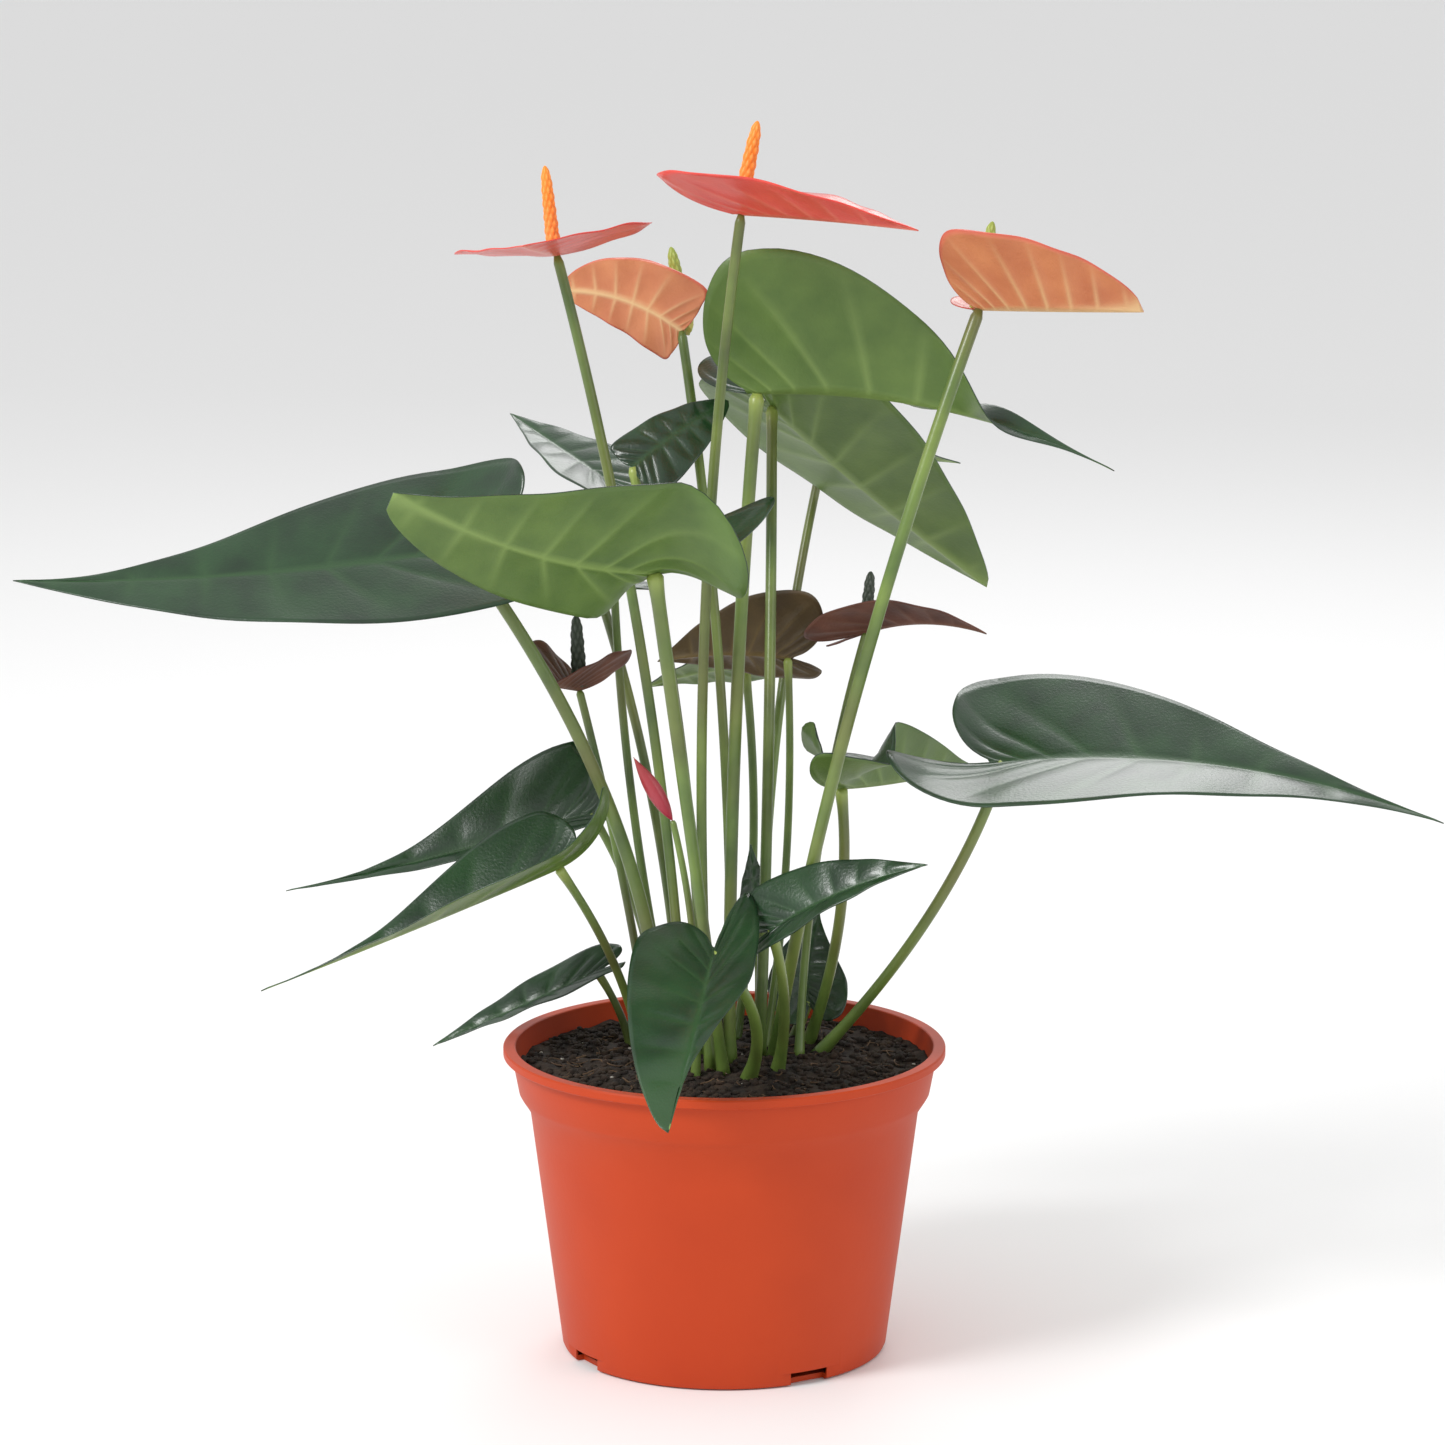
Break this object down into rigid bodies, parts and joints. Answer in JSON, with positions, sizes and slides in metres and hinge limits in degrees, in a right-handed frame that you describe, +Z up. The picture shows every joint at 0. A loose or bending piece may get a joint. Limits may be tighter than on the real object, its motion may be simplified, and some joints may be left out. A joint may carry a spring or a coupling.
{
  "type": "potted anthurium plant",
  "caption": "Potted anthurium: heart-shaped leaves, spathes with upright spadices, one bud, in a round orange nursery pot with a rolled collar.",
  "frame": {"origin": "centre of the pot's underside, on the surface it stands on", "axes": "+Z up along the pot's axis, -Y towards the viewer's side, +X towards the right-hand leaf"},
  "size_m": [0.5165, 0.3102, 0.4618],
  "materials": {
    "leaf": "satin waxy",
    "young_leaf": "satin waxy",
    "stem": "satin",
    "spathe_red": "waxy gloss",
    "spathe_orange": "waxy satin",
    "spathe_brown": "matt, papery",
    "spadix_orange": "matt",
    "spadix_green": "matt",
    "spadix_dark": "matt",
    "bud": "satin",
    "pot": "moulded satin",
    "soil": "loose, rough"
  },
  "bodies": {
    "root": {"leaf_01_blade": "leaf", "leaf_01_petiole": "stem", "leaf_02_blade": "leaf", "leaf_02_petiole": "stem", "leaf_03_blade": "leaf", "leaf_03_petiole": "stem", "leaf_04_blade": "leaf", "leaf_04_petiole": "stem", "leaf_05_blade": "leaf", "leaf_05_petiole": "stem", "leaf_06_blade": "leaf", "leaf_06_petiole": "stem", "leaf_07_blade": "leaf", "leaf_07_petiole": "stem", "leaf_08_blade": "leaf", "leaf_08_petiole": "stem", "leaf_09_blade": "leaf", "leaf_09_petiole": "stem", "leaf_10_blade": "leaf", "leaf_10_petiole": "stem", "leaf_11_blade": "leaf", "leaf_11_petiole": "stem", "leaf_12_blade": "leaf", "leaf_12_petiole": "stem", "leaf_13_blade": "leaf", "leaf_13_petiole": "stem", "leaf_14_blade": "leaf", "leaf_14_petiole": "stem", "leaf_15_blade": "leaf", "leaf_15_petiole": "stem", "leaf_16_blade": "leaf", "leaf_16_petiole": "stem", "leaf_17_blade": "leaf", "leaf_17_petiole": "stem", "leaf_18_blade": "leaf", "leaf_18_petiole": "stem", "leaf_19_blade": "young_leaf", "leaf_19_petiole": "stem", "flower_1_spathe": "spathe_red", "flower_1_spadix": "spadix_orange", "flower_1_stem": "stem", "flower_2_spathe": "spathe_red", "flower_2_spadix": "spadix_orange", "flower_2_stem": "stem", "flower_3_spathe": "spathe_orange", "flower_3_spadix": "spadix_green", "flower_3_stem": "stem", "flower_4_spathe": "spathe_orange", "flower_4_spadix": "spadix_green", "flower_4_stem": "stem", "flower_5_spathe": "spathe_brown", "flower_5_spadix": "spadix_dark", "flower_5_stem": "stem", "flower_6_spathe": "spathe_brown", "flower_6_spadix": "spadix_dark", "flower_6_stem": "stem", "flower_bud": "bud", "flower_bud_stem": "stem", "pot": "pot", "soil": "soil"}
  },
  "joints": []
}
